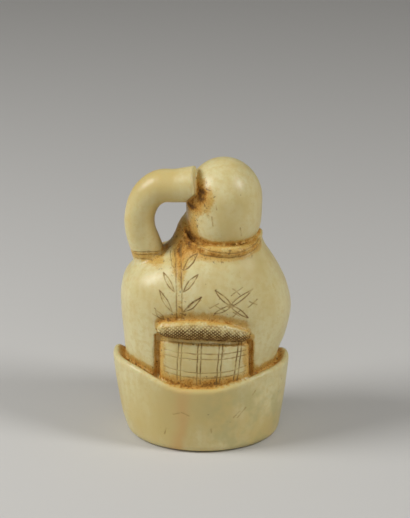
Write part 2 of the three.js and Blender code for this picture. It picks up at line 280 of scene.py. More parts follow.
def panel(made, outward):
    middle, half = (made["left"] + made["right"]) / 2, (made["left"] - made["right"]) / 2

    def distance(points):
        x, z = points[:, 0], points[:, 2]
        across = np.minimum(np.abs(x - middle) / half, 1.2)
        up = (z - made["bottom"]) / (made["top"] - made["bottom"])
        crown = made["sink"] * 0.85 * across**2.6 + 0.5 * np.clip(2 * up - 1, -1, 1) ** 4
        edge = blendMax(np.abs(x - middle) - half, z - made["top"] - made["tilt"] * x, 0.6)
        front = (points[:, 1] * outward - made["face"] + crown) * 0.95
        return blendMax(blendMax(edge, front, 0.7), 4 - points[:, 1] * outward, 0.3)

    nearer, further = sorted((4 * outward, made["face"] * outward))
    low, high = (made["right"], nearer, made["bottom"]), (made["left"], further, made["top"] + 0.4)
    return lambda points: near(points, low, high, distance)


drumShape, strapShape, frontSashShape = panel(drum, 1), panel(strap, 1), panel(frontSash, -1)
frontCord = rod(
    [(s * 6.4, -10.55 + 2.1 * abs(s) ** 2.6, 15.2) for s in (-1, -0.5, 0, 0.5, 1)], [0.55], 14, (1, 1.2, 1)
)
frontKnot = ball((1.2, -10.9, 15.2), (1.15, 0.8, 0.95))


# The head and its calm, plain face. The skull is round above and fuller below, towards the nape.

head = {"place": (-3.35, 0, 40.9), "rx": 6.2, "ry": 6.5, "up": 6.6, "down": 7.7, "jaw": 3.6, "taper": 0.16}
# Places are across and up from the skull's middle. sink sets a feature into the skull, blend is how softly it joins.
face = {
    "brow": {
        "x": 2.45, "z": 2.1, "sink": 0.22, "length": 2.2, "droop": 0.3, "radii": (0.3, 0.4, 0.25), "blend": 0.7,
    },
    "eye": {"x": 2.35, "z": 0.5, "sink": 0.38, "radii": (1.25, 0.62, 0.66), "blend": 0.2},
    "socket": {"x": 2.35, "z": 0.75, "sink": -0.45, "radii": (1.9, 1.0, 1.15), "blend": 0.9},
    "nose": {"top": 1.1, "tip": -1.45, "radii": (0.34, 0.55, 0.8), "blend": 0.6},
    "wing": {"x": 0.72, "z": -1.7, "sink": -0.2, "radii": (0.55, 0.62, 0.48), "blend": 0.35},
    "mouth": {"z": -3.3, "half": 1.3, "gap": 0.3, "radius": 0.38, "blend": 0.25},
    "chin": {"x": 0, "z": -5.1, "sink": 0.8, "radii": (1.9, 1.4, 1.25), "blend": 1.3},
    "cheek": {"x": 3.1, "z": -2.1, "sink": 1.25, "radii": (2.1, 1.5, 2.1), "blend": 1.4},
    "ear": {"x": 5.72, "y": -1.7, "z": -0.6, "radii": (0.62, 1.05, 1.95), "blend": 0.35},
    "earHollow": {"x": 6.34, "y": -1.85, "z": -0.35, "radii": (0.42, 0.5, 1.1), "blend": 0.3},
}


def onSkull(x, z, sink=0.0):
    power, reach = (2, head["up"]) if z > 0 else (head["jaw"], head["down"])
    width = max(1 - (abs(z) / reach) ** power, 0) ** (1 / power)
    width *= 1 - head["taper"] * float(fade(np.array(-z), 0, head["down"]))
    y = -head["ry"] * math.sqrt(max(width**2 - (x / head["rx"]) ** 2, 0.02))
    cx, cy, cz = head["place"]
    return (cx + x, cy + y + sink, cz + z)


def skullShape(points):
    q = points - np.array(head["place"])
    flat = np.maximum(np.hypot(q[:, 0], q[:, 1]), 1e-6)
    taper = 1 - head["taper"] * fade(-q[:, 2], 0, head["down"]) * fade(-q[:, 1] / flat, -0.2, 1)
    side = np.hypot(q[:, 0] / head["rx"], q[:, 1] / head["ry"]) / taper
    above = np.hypot(side, q[:, 2] / head["up"])
    below = (side ** head["jaw"] + np.abs(q[:, 2] / head["down"]) ** head["jaw"]) ** (1 / head["jaw"])
    rho = np.where(q[:, 2] > 0, above, below)
    return (rho - 1) * np.maximum(lengths(q) / np.maximum(rho, 1e-3), 5)


# A rounded feature, set on the skull or, like an ear, beside its middle.
def feature(name, side=1):
    made = face[name]
    if "y" in made:
        cx, cy, cz = head["place"]
        centre = (cx + side * made["x"], cy + made["y"], cz + made["z"])
    else:
        centre = onSkull(side * made["x"], made["z"], made["sink"])
    return ball(centre, made["radii"]), made["blend"]


def browShape(side):
    brow = face["brow"]
    line = [
        onSkull(side * (brow["x"] + s * brow["length"] / 2), brow["z"] - brow["droop"] * s * s, brow["sink"])
        for s in (-1, 0, 1)
    ]
    return rod(line, brow["radii"], 8), brow["blend"]


def noseShape():
    nose = face["nose"]
    line = [onSkull(0, nose["top"], 0.1), onSkull(0, 0, -0.25), onSkull(0, nose["tip"], -0.35)]
    return rod(line, nose["radii"], 8), nose["blend"]


def lipShape(up, radius):
    mouth = face["mouth"]
    z = mouth["z"] + up * mouth["gap"]
    line = [onSkull(s * mouth["half"], z + 0.12 * s * s, -0.02) for s in (-1, 0, 1)]
    return rod(line, (0.16, radius, 0.16), 8), mouth["blend"]


sockets = [feature("socket", side) for side in (-1, 1)]
raised = []
for side in (-1, 1):
    raised += [feature("cheek", side), browShape(side)] + [feature(name, side) for name in ("eye", "wing", "ear")]
raised += [noseShape(), feature("chin")]
raised += [lipShape(1, face["mouth"]["radius"] * 0.85), lipShape(-1, face["mouth"]["radius"])]
earHollows = [feature("earHollow", side) for side in (-1, 1)]


def headShape(points):
    body = skullShape(points)
    for shape, blend in sockets:
        body = blendMax(body, -shape(points), blend)
    for shape, blend in raised:
        body = blendMin(body, shape(points), blend)
    for shape, blend in earHollows:
        body = blendMax(body, -shape(points), blend)
    return body


# The raised arm runs on a little past its flat end and is cut off there.

arm = {
    "path": [
        (8.3, 0.3, 28), (9.3, 0.4, 32.4), (10.3, 0.7, 35.8), (10.3, 1.0, 38.6), (9.1, 1.3, 41.65),
        (7.0, 1.6, 43.3), (4.4, 2.0, 43.53), (1.1, 2.65, 44.03), (-1.5, 3.2, 44.3),
    ],
    "radii": [2.6, 2.65, 2.5, 2.45, 2.6, 2.72, 2.72, 2.98, 3.0],
    "end": (1.15, 2.6, 43.9),
    "facing": (-0.98, 0.16, 0.12),
    "corner": (1.6, 2.5, 42.05),
    "cornerFacing": (-0.62, 0.25, -0.74),
}
armRod = rod(arm["path"], arm["radii"], 30)


def plane(points, place, facing):
    facing = np.array(facing, float)
    return (points - np.array(place)) @ (facing / np.linalg.norm(facing))


def armShape(points):
    pastEnd = 9 * fade(points[:, 0], 2.5, 4.5)  # the cuts leave the rest of the arm alone
    body = blendMax(armRod(points), plane(points, arm["end"], arm["facing"]) - pastEnd, 0.16)
    return blendMax(body, plane(points, arm["corner"], arm["cornerFacing"]) - pastEnd, 0.2)


# The collar: two bands from the nape over the shoulders that cross in front, left over right.

collar = {
    "nape": (6.35, 33.7, 2.4),
    "left": (3.3, -0.8, 36.1),
    "right": (-9.2, -0.8, 34.7),
    "cross": (-2.6, -9.2, 28.4),
    "tail": (-10.1, 23.2),
    "radii": [[0.7, 0.72, 0.7, 0.55, 0.5, 0.7, 0.85, 0.8], [0.7, 0.7, 0.5, 0.3, 0.5, 0.8, 0.85, 0.8]],
}


def mix(a, b, t):
    return a + (b - a) * t


def collarLine(side, lift):
    napeY, napeZ, overlap = collar["nape"]
    crossX, crossY, crossZ = collar["cross"]
    tailY, tailZ = collar["tail"]
    headX = head["place"][0]
    turn = 1 if side[0] > headX else -1
    return [
        (headX - turn * overlap, napeY * 0.95, napeZ),
        (headX, napeY, napeZ),
        (headX + turn * overlap, napeY * 0.95, napeZ),
        (mix(headX, side[0], 0.84), napeY * 0.58, mix(napeZ, side[2], 0.3)),
        side,
        (mix(headX, side[0], 0.86), -5.2, side[2] - 1.9),
        (mix(crossX, side[0], 0.3), crossY + 0.9 - lift, crossZ + 2.2),
        (crossX - (side[0] - headX) * 0.22, crossY - 0.2 - lift, crossZ - 2.0),
        (crossX - (side[0] - headX) * 0.42, tailY - lift, tailZ),
    ]


collarLines = [collarLine(collar["right"], 0), collarLine(collar["left"], 0.35)]
collarRods = [rod(line, radii, 26) for line, radii in zip(collarLines, collar["radii"])]
flare = rod([(2.9, -1.3, 31), (1.5, -1.5, 35), (0.2, -1.6, 38)], [2.9, 2.8, 2.1], 8)
throat = rod([(-3.35, -1.2, 28), (-3.35, -1.2, 37)], [4.2], 3)
shoulderFill = ball((-3.35, 0, 32.2), (6.1, 6.6, 2.5))


# The right sleeve lies across the front, and its hand rests on the sash.

sleeve = {
    "path": [
        (-11.3, -2.6, 23.6), (-11.0, -6.5, 21.9), (-7.6, -9.6, 21.2), (-3.4, -10.6, 21.5), (-1.4, -10.9, 21.7),
    ],
    "radii": [2.0, 2.8, 2.75, 2.7, 2.7],
    "end": (-3.4, -10.6, 21.5),
    "facing": (1, -0.18, 0.08),
}
sleeveRod = rod(sleeve["path"], sleeve["radii"], 20, (1, 0.84, 1))
sleeveInside = ball((-2.7, -10.75, 21.55), (1.5, 1.45, 1.95))
palm = rod([(-4.0, -10.8, 21.55), (0.3, -10.9, 21.9)], [1.15, 1.3, 1.35], 6, (1, 0.85, 1))


def finger(i):
    reach = 2.5 - abs(i - 1.2) * 0.4
    line = [(-0.5, -11.1, 23.0 - i * 0.74), (1.2, -11.25, 22.9 - i * 0.76), (reach, -10.6, 22.7 - i * 0.76)]
    return rod(line, [0.45, 0.44, 0.36], 8)


fingers = [finger(i) for i in range(4)]
thumb = rod([(-1.4, -11.3, 23.0), (-0.1, -11.6, 23.6), (0.9, -11.2, 23.8)], [0.5, 0.46, 0.4], 6)


def sleeveShape(points):
    body = blendMax(sleeveRod(points), plane(points, sleeve["end"], sleeve["facing"]), 0.35)
    body = blendMax(body, -sleeveInside(points), 0.2)
    hand = palm(points)
    for shape in fingers + [thumb]:
        hand = blendMin(hand, shape(points), 0.12)
    return blendMin(body, hand, 0.1)


# The whole carving.
def carving(points):
    body = robeShape(points)
    body = blendMin(body, blendMin(drumShape(points), strapShape(points), 0.12), 0.15)
    body = blendMin(body, roll(points), 0.15)
    body = blendMin(body, frontSashShape(points), 0.2)
    body = blendMin(body, frontCord(points), 0.15)
    body = blendMin(body, frontKnot(points), 0.3)
    body = blendMin(body, flare(points), 1.8)
    body = blendMin(body, blendMin(throat(points), shoulderFill(points), 0.6), 0.6)
    for band in collarRods:
        body = blendMin(body, band(points), 0.5)
    body = blendMin(body, sleeveShape(points), 0.5)
    body = blendMin(body, armShape(points), 0.55)
    # the head runs softly into the rough ground at its left, and is cut in crisply elsewhere
    soft = 0.12 + 0.9 * zone(points, (1.8, 2.0, 35.8), (2.0, 3.5, 2.6))
    body = blendMin(body, near(points, (-11, -9, 32), (5, 8, 48), headShape), soft)
    body = blendMin(body, tubShape(points), 0.35)
    return body


# Incised lines. Each is a run of (x, z) places, cut into the back or the front.
# A cut is its width, depth and darkness.

lines = {"back": [], "front": []}


# Where a ground is given, the line is cut only into that shape.
def engrave(side, places, cut, ground=None):
    lines[side].append((np.array(places, float), *cut, ground))


def leaf(base, tip, width):
    (x0, z0), (x1, z1) = base, tip
    length = math.hypot(x1 - x0, z1 - z0)
    across = (-(z1 - z0) / length, (x1 - x0) / length)
    edges = []
    for side in (-1, 1):
        edge = []
        for t in np.linspace(0, 1, 9):
            out = side * width / 2 * math.sin(math.pi * t)
            edge.append((x0 + (x1 - x0) * t + across[0] * out, z0 + (z1 - z0) * t + across[1] * out))
        edges.append(edge)
    return edges


# a curve through (x, z) places
def curved(places, count):
    return bendThrough([(x, 0, z) for x, z in places], count)[:, ::2]


bamboo = {
    "stem": [
        [(4.55, 35.6), (4.42, 31), (4.32, 27), (4.27, 23.5)],
        [(3.72, 35.6), (3.6, 31), (3.45, 27), (3.42, 23.3)],
    ],
    "leaves": [
        ((4.6, 31.0), (5.35, 33.5)), ((4.7, 28.0), (6.4, 30.5)), ((5.0, 24.6), (7.1, 28.0)),
        ((6.4, 23.0), (7.7, 24.6)), ((3.3, 31.1), (0.95, 33.3)), ((3.3, 28.0), (0.9, 30.6)),
        ((3.2, 24.7), (0.35, 27.2)),
    ],
    "leafWidth": 0.74,
    "doubled": [(3.0, 25.0), (1.8, 26.3), (0.3, 27.3)],
    "grass": [((7.9, 25.0), (7.3, 24.2)), ((7.5, 24.1), (6.5, 23.6)), ((8.2, 23.9), (7.4, 23.5))],
    "stemCut": (0.09, 0.07, 0.62),
    "leafCut": (0.08, 0.06, 0.72),
    "veinCut": (0.07, 0.03, 0.3),
    "doubledCut": (0.09, 0.07, 0.95),
    "grassCut": (0.075, 0.05, 0.62),
}
for line in bamboo["stem"]:
    engrave("back", line, bamboo["stemCut"])
for base, tip in bamboo["leaves"]:
    for edge in leaf(base, tip, bamboo["leafWidth"]):
        engrave("back", edge, bamboo["leafCut"])
    engrave("back", [base, mix(np.array(base), np.array(tip), 0.75)], bamboo["veinCut"])
engrave("back", bamboo["doubled"], bamboo["doubledCut"])
for blade in bamboo["grass"]:
    engrave("back", blade, bamboo["grassCut"])

crossedLeaves = {
    "centre": (-4.45, 25.8),
    "tips": [(-7.9, 28.0), (-1.9, 28.3), (-7.2, 23.45), (-1.75, 24.4)],
    "width": 0.68,
    "overlap": 0.12,
    "ticks": [
        ((-4.45, 27.4), (-6.3, 28.5)), ((-4.7, 28.4), (-5.9, 27.4)), ((-1.05, 25.4), (-2.5, 26.2)),
        ((-2.0, 25.8), (-3.5, 25.0)), ((-7.2, 25.3), (-8.7, 26.3)), ((-7.4, 26.2), (-8.6, 25.5)),
        ((-5.9, 24.9), (-4.7, 23.8)), ((-4.8, 24.6), (-5.8, 23.9)),
    ],
    "leafCut": (0.08, 0.06, 0.74),
    "tickCut": (0.075, 0.05, 0.62),
}
for tip in crossedLeaves["tips"]:
    base = mix(np.array(crossedLeaves["centre"]), np.array(tip), -crossedLeaves["overlap"])
    for edge in leaf(base, tip, crossedLeaves["width"]):
        engrave("back", edge, crossedLeaves["leafCut"])
for tick in crossedLeaves["ticks"]:
    engrave("back", tick, crossedLeaves["tickCut"])

# the drum's plaid, then the strap's two edges: each level line has its height and how far it sags or drops
plaid = {
    "upright": [
        ((3.95, 19.3), (4.3, 12.8)), ((3.4, 19.3), (3.75, 12.8)), ((0.8, 19.2), (1.1, 12.3)),
        ((0.25, 19.2), (0.55, 12.3)), ((-2.6, 19), (-2.1, 12.3)), ((-3.15, 19), (-2.65, 12.3)),
        ((-5.7, 18.9), (-4.9, 12.8)), ((-6.25, 18.9), (-5.5, 12.8)),
    ],
    "level": [(17.9, 0.35), (17.05, 0.4), (15.1, 0.85), (14.25, 0.9)],
    "span": (6.3, -6.9),
    "bow": 0.08,
    "uprightCut": (0.085, 0.09, 0.75),
    "levelCut": (0.075, 0.07, 0.62),
}
for start, stop in plaid["upright"]:
    middle = ((start[0] + stop[0]) / 2 + plaid["bow"], (start[1] + stop[1]) / 2)
    engrave("back", [start, middle, stop], plaid["uprightCut"], drumShape)
for z, sag in plaid["level"]:
    line = [(x, z - sag * (1 - ((x - 0.3) / 7) ** 2) + 0.02 * x) for x in np.linspace(*plaid["span"], 12)]
    engrave("back", line, plaid["levelCut"], drumShape)
strapEdges = {"heights": (20.3, 19.25), "drop": 0.5, "span": (7.0, -7.2), "cut": (0.1, 0.1, 0.5)}
for z in strapEdges["heights"]:
    line = [(x, z - strapEdges["drop"] * (x / 7) ** 2 + 0.055 * x) for x in np.linspace(*strapEdges["span"], 12)]
    engrave("back", line, strapEdges["cut"])

# crosshatching all over the roll
hatch = {"step": 0.64, "slope": 0.85, "low": 19.9, "high": 22.8, "span": (6.9, -7.2), "cut": (0.085, 0.08, 1.0)}
left, right = hatch["span"]
for slope in (hatch["slope"], -hatch["slope"]):
    x = right - 3
    while x < left + 3:
        places = []
        for t in (0, 0.33, 0.67, 1):
            rise = (hatch["high"] - hatch["low"]) * t
            at = x + rise / slope
            places.append((at, hatch["low"] + rise + rollTop(at) - rollTop(1)))
        engrave("back", places, hatch["cut"], roll)
        x += hatch["step"]

# cuff lines where the raised arm leaves the robe, and creases of the collar's band at the nape
for line in (
    [(11.9, 32.1), (10.4, 32.5), (8.6, 32.5), (7.0, 32.3)], [(12.0, 31.7), (10.2, 32.0), (8.4, 32.05), (6.8, 31.9)],
    [(11.6, 31.1), (10, 31.2), (8.4, 31.3)],
):
    engrave("back", line, (0.085, 0.07, 0.6))
for line in (
    [(0.9, 34.4), (-0.8, 34.0), (-3.35, 33.75), (-6.2, 33.8), (-8.6, 34.5), (-9.7, 35.2)],
    [(0.6, 33.4), (-0.6, 33.15), (-3.2, 32.95), (-6.2, 33.05), (-8.3, 33.5), (-9.6, 34.4)],
):
    engrave("back", curved(line, 21), (0.1, 0.1, 0.48))

# a few scratches in the head and the tub
for scratch in (
    ((-1.4, 39.6), (-1.55, 38.1)), ((-2.0, 41.6), (-2.1, 40.9)), ((-5.9, 37.6), (-6.1, 36.2)),
    ((4.9, 7.1), (3.9, 7.4)), ((3.6, 7.5), (2.3, 7.0)), ((-4.9, 6.4), (-5.9, 7.4)), ((-5.6, 6.3), (-6.9, 7.9)),
    ((-8.0, 9.9), (-8.5, 10.6)), ((-1.2, 4.6), (-1.3, 3.9)), ((6.4, 3.2), (6.1, 4.4)),
):
    engrave("back", scratch, (0.085, 0.03, 0.46))

# the plainer front: closed eyes, hairs of the brows, mouth, collar edges, gaps of the fingers, cord and folds
headX, headZ = head["place"][0], head["place"][2]
eye, brow, mouth = face["eye"], face["brow"], face["mouth"]
for side in (-1, 1):
    middle = headX + side * eye["x"]
    lid = [(middle + s * 1.15, headZ + eye["z"] - 0.22 + 0.2 * s * s) for s in np.linspace(-1, 1, 7)]
    engrave("front", lid, (0.13, 0.1, 0.9))
    for s in np.linspace(-0.9, 0.9, 9):
        x = headX + side * (brow["x"] + s * brow["length"] / 2)
        z = headZ + brow["z"] - brow["droop"] * s * s
        engrave("front", [(x - 0.1 * side, z - 0.16), (x + 0.12 * side, z + 0.2)], (0.07, 0.03, 0.5))
mouthLine = [(headX + s * 1.2, headZ + mouth["z"] + 0.06 * s * s) for s in np.linspace(-1, 1, 7)]
engrave("front", mouthLine, (0.13, 0.09, 0.8))
for line, stop in zip(collarLines, (22, 27)):
    for shift in (-0.95, 1.15):
        places = [(x + shift * 0.8, z + shift * 0.4) for x, y, z in bendThrough(line, 30)[16:stop]]
        engrave("front", places, (0.12, 0.07, 0.6))
for i in range(3):
    gap = [(0.1, 22.65 - 0.74 * i), (1.3, 22.58 - 0.75 * i), (2.4, 22.4 - 0.75 * i)]
    engrave("front", gap, (0.1, 0.12, 0.8))
for x in -6 + 0.98 * np.arange(13):
    engrave("front", [(x, 14.75), (x + 0.55, 15.65)], (0.11, 0.07, 0.8))
for fold in (
    [(9.8, 20), (10.3, 24), (9.2, 28)], [(7.7, 18), (8.0, 21.5), (7.0, 25)],
    [(5.6, 22.5), (5.3, 25.5), (3.6, 28.5)], [(-11.8, 24.6), (-10.3, 22.9), (-8.1, 22.3)],
    [(-11.6, 22.6), (-9.6, 21.1), (-7.2, 20.7)], [(-9.4, 20.4), (-7.6, 19.9), (-5.4, 20.1)],
):
    engrave("front", curved(fold, 13), (0.18, 0.12, 0.5))


# How deep and how dark the incised lines are at each point, and how near the closest of them is.
def engraving(points, reach=0.5):
    cutDepth = np.zeros(len(points))
    ink = np.zeros(len(points))
    closest = np.full(len(points), 9.0)
    # the hand that cut them wasn't quite steady
    unsteady = 0.07 * np.stack([lumps(points, 1.1, 3.3), lumps(points, 1.1, 7.7)], 1)
    for side, group in lines.items():
        facing = points[:, 1] > 2 if side == "back" else points[:, 1] < -3
        here = np.nonzero(facing)[0]
        flat = points[here][:, ::2] + unsteady[here]
        for places, width, depth, dark, ground in group:
            low, high = places.min(0) - reach, places.max(0) + reach
            found = np.nonzero(np.all((flat > low) & (flat < high), axis=1))[0]
            if not len(found):
                continue
            q = flat[found]
            best = np.full(len(q), 9.0)
            for a, b in zip(places[:-1], places[1:]):
                step = b - a
                t = np.clip((q - a) @ step / max(step @ step, 1e-9), 0, 1)
                gap = q - a - t[:, None] * step
                best = np.minimum(best, np.hypot(gap[:, 0], gap[:, 1]))
            at = here[found]
            inGround = upTo(ground(points[at]), 0.2, 0.4) if ground else 1
            cutDepth[at] = np.maximum(cutDepth[at], depth * bump(best, width) * inGround)
            ink[at] = np.maximum(ink[at], dark * bump(best, width * 1.5) * inGround)
            closest[at] = np.minimum(closest[at], best)
    return cutDepth, ink, closest


# From distances to a skin: one point in each small cube that the surface crosses, joined to its neighbours.

def skin(shape, low, high, step):
    counts = np.ceil((np.array(high) - low) / step).astype(int) + 1
    axes = [low[a] + step * np.arange(counts[a]) for a in range(3)]
    grid = np.stack(np.meshgrid(*axes, indexing="ij"), -1).reshape(-1, 3)
    values = np.concatenate([shape(part) for part in np.array_split(grid, 12)]).reshape(counts)
    nx, ny, nz = counts - 1
    corner = {c: values[c[0]:c[0] + nx, c[1]:c[1] + ny, c[2]:c[2] + nz] for c in np.ndindex(2, 2, 2)}
    inside = np.stack([v < 0 for v in corner.values()])
    mixed = inside.any(0) & ~inside.all(0)
    number = np.full(mixed.shape, -1)
    number[mixed] = np.arange(mixed.sum())
    total, hits = np.zeros((mixed.sum(), 3)), np.zeros(mixed.sum())
    for a in corner:
        for axis in range(3):
            if a[axis]:
                continue
            b = tuple(1 if k == axis else a[k] for k in range(3))
            va, vb = corner[a][mixed], corner[b][mixed]
            crossed = (va < 0) != (vb < 0)
            t = np.where(crossed, va / np.where(crossed, va - vb, 1), 0)
            place = np.array(a) + t[:, None] * (np.array(b) - a)
            total += place * crossed[:, None]
            hits += crossed
    cells = np.argwhere(mixed)
    points = np.array(low) + step * (cells + total / hits[:, None])
    quads = []
    for axis in range(3):
        u, w = (axis + 1) % 3, (axis + 2) % 3
        first = [slice(None)] * 3
        second = [slice(None)] * 3
        first[axis], second[axis] = slice(0, -1), slice(1, None)
        va, vb = values[tuple(first)], values[tuple(second)]
        edge = np.argwhere((va < 0) != (vb < 0))
        across = edge[:, [u, w]]
        edge = edge[np.all((across > 0) & (across < counts[[u, w]] - 1), axis=1)]
        outward = va[tuple(edge.T)] < 0
        ring = []
        for du, dw in ((1, 1), (0, 1), (0, 0), (1, 0)):
            cell = edge.copy()
            cell[:, u] -= du
            cell[:, w] -= dw
            ring.append(number[tuple(cell.T)])
        ring = np.stack(ring, 1)
        quads.append(np.where(outward[:, None], ring, ring[:, ::-1]))
    quads = np.concatenate(quads)
    a, b, c, d = (points[quads[:, k]] for k in range(4))
    short = np.linalg.norm(a - c, axis=1) < np.linalg.norm(b - d, axis=1)
    faces = np.concatenate([
        np.where(short[:, None], quads[:, [0, 1, 2]], quads[:, [0, 1, 3]]),
        np.where(short[:, None], quads[:, [0, 2, 3]], quads[:, [1, 2, 3]]),
    ])
    return points, faces


def slopeOf(shape, points, reach=0.03):
    here = shape(points)
    away = np.stack([shape(points + reach * np.eye(3)[a]) for a in range(3)], 1)
    return here, (away - here[:, None]) / reach


def settle(shape, points, times=2):
    for _ in range(times):
        here, slope = slopeOf(shape, points)
        size = np.maximum(np.einsum("ij,ij->i", slope, slope), 0.15)
        points = points - np.clip(here / size, -0.25, 0.25)[:, None] * slope
    return points


# Halves every edge that is longer than wanted where fine lines will be cut.
def refine(points, faces, wanted):
    sides = np.sort(faces[:, [0, 1, 1, 2, 2, 0]].reshape(-1, 3, 2), axis=2)
    keys = sides[..., 0].astype(np.int64) * len(points) + sides[..., 1]
    unique, where = np.unique(keys, return_inverse=True)
    where = where.reshape(keys.shape)
    a, b = unique // len(points), unique % len(points)
    halfway = (points[a] + points[b]) / 2
    split = np.linalg.norm(points[a] - points[b], axis=1) > wanted(halfway)
    number = np.full(len(unique), -1)
    number[split] = len(points) + np.arange(split.sum())
    mid = number[where]
    grown = np.concatenate([points, halfway[split]])
    v = faces
    cut = mid >= 0
    many = cut.sum(1)
    out = [v[many == 0]]
    for turn in range(3):
        p, q, r = turn, (turn + 1) % 3, (turn + 2) % 3
        one = (many == 1) & cut[:, p]
        (a, b, c), m = v[one][:, [p, q, r]].T, mid[one, p]
        out += [np.stack([a, m, c], 1), np.stack([m, b, c], 1)]
        two = (many == 2) & cut[:, p] & cut[:, q]
        (a, b, c), m, n = v[two][:, [p, q, r]].T, mid[two, p], mid[two, q]
        out += [np.stack([m, b, n], 1), np.stack([a, m, n], 1), np.stack([a, n, c], 1)]
    three = many == 3
    (a, b, c), (m, n, o) = v[three].T, mid[three].T
    out += [np.stack([a, m, o], 1), np.stack([m, b, n], 1), np.stack([n, c, o], 1), np.stack([m, n, o], 1)]
    return grown, np.concatenate(out)


# Evens out the net without leaving the surface.
def relax(points, faces, shape):
    total, hits = np.zeros_like(points), np.zeros(len(points))
    for a, b in ((0, 1), (1, 2), (2, 0)):
        for i, j in ((a, b), (b, a)):
            np.add.at(total, faces[:, i], points[faces[:, j]])
            np.add.at(hits, faces[:, i], 1)
    return settle(shape, points * 0.5 + total / hits[:, None] * 0.5, 2)


carve = {
    "low": (-15.3, -13.6, -0.33),
    "high": (16.0, 12.6, 48.3),
    "step": 0.4,
    "fine": 0.082,
    "wobble": 0.03,
    "roughness": 0.13,
    "stipple": 0.09,
}


def wantedLength(places):
    closest = engraving(places)[2]
    return np.where(closest < 0.26, carve["fine"] * 1.35 + np.maximum(closest - 0.16, 0) * 1.4, 9.0)


points, faces = skin(carving, carve["low"], carve["high"], carve["step"])
points = settle(carving, points, 3)
points = relax(points, faces, carving)
print("skin:", len(points), "points", len(faces), "faces")
for _ in range(3):
    points, faces = refine(points, faces, wantedLength)
    points = settle(carving, points, 1)
print("refined for the incised lines:", len(points), "points", len(faces), "faces")

# How deep in a recess each point lies, from how much of the carving stands close over it.
slope = slopeOf(carving, points)[1]
normal = slope / np.maximum(lengths(slope), 1e-6)[:, None]
recessed = np.zeros(len(points))
for reach, weight in ((0.5, 0.4), (1.1, 0.35), (2.0, 0.25)):
    recessed += weight * np.clip(1 - carving(points + normal * reach) / reach, 0, 1)

cutDepth, ink = engraving(points)[:2]
x, y, z = points.T  # the heights and sides that follow are those before the lines are cut
onRoll = upTo(roll(points), 0.1, 0.3)
overRoll = z - rollTop(x)
paintedShadeLowRoll = upTo(overRoll, -2.4, -0.9) * onRoll
# the hatching is paler towards the roll's top; painted shade darkens the lines on the roll's lower half, and short
# of its +X end the whole lower half
ink *= 1 - 0.45 * fade(overRoll, -1.4, -0.4) * onRoll
ink = np.maximum(ink * (1 + 0.3 * paintedShadeLowRoll), 0.6 * paintedShadeLowRoll * upTo(x, 4.5, 7.0))
# and the plaid is paler on the drum's +X side
ink *= 1 - 0.35 * fade(x, 1.2, 3.6) * upTo(z, 18.4, 18.9) * fade(z, 12, 12.6) * fade(y, 4, 6)

# The knife's unevenness everywhere, and rough picked ground where the left side of the collar flares out.
rough = zone(points, (3.0, 0.5, 34.8), (2.6, 3.2, 2.8))
stippled = bump(overRoll - 0.4, 1.15) * fade(y, 5, 7) * upTo(np.abs(x), 7.2, 8.4)
moved = carve["wobble"] * (lumps(points, 3.2) * 0.7 + lumps(points, 1.3, 5.5) * 0.3)
moved += carve["roughness"] * rough * (lumps(points, 0.75, 2.2) - 0.2)
moved -= carve["stipple"] * stippled * fade(lumps(points, 0.42, 9.1), 0.15, 0.7)
moved *= fade(z, 0.05, 0.6)  # the underside stays flat
points = points + normal * (moved - cutDepth)[:, None]

# Stained ground: every recess, and the places that handling never reached; also painted shade on the roll's lower
# half.
# A patch is how strong, where its middle is and how far it reaches.
patches = {
    "armCrease": [
        (0.5, (0.4, 3.9, 43.9), (0.8, 2.5, 1.4)), (0.9, (0.3, 5.0, 42.6), (1.0, 2.5, 1.3)),
        (1.0, (2.0, 3.4, 40.5), (1.4, 2.6, 0.9)), (0.3, (-0.5, 5.0, 42.0), (2.2, 3.0, 3.2)),
    ],
    "flare": [
        (0.85, (4.05, 5.0, 33.1), (0.9, 3.0, 1.3)), (0.45, (2.2, 3.4, 37.5), (1.6, 3.0, 3.2)),
        (0.4, (1.8, 5.0, 34.0), (2.6, 3.0, 1.8)),
    ],
    "stem": [(0.38, (4.0, 6.5, 31.4), (1.5, 3.0, 1.8))],
}
stainAndShadeStrength = {
    "rough": 0.58, "nape": 0.66, "stipple": 0.22, "overRoll": 0.16, "paintedShadeLowRoll": 0.42, "strap": 0.26, "gap": 0.42,
    "drumEdge": 0.3, "drumFoot": 0.75, "cuff": 0.42, "stem": 0.22,
}


def patched(name):
    return sum(strength * zone(points, centre, reach) for strength, centre, reach in patches[name])


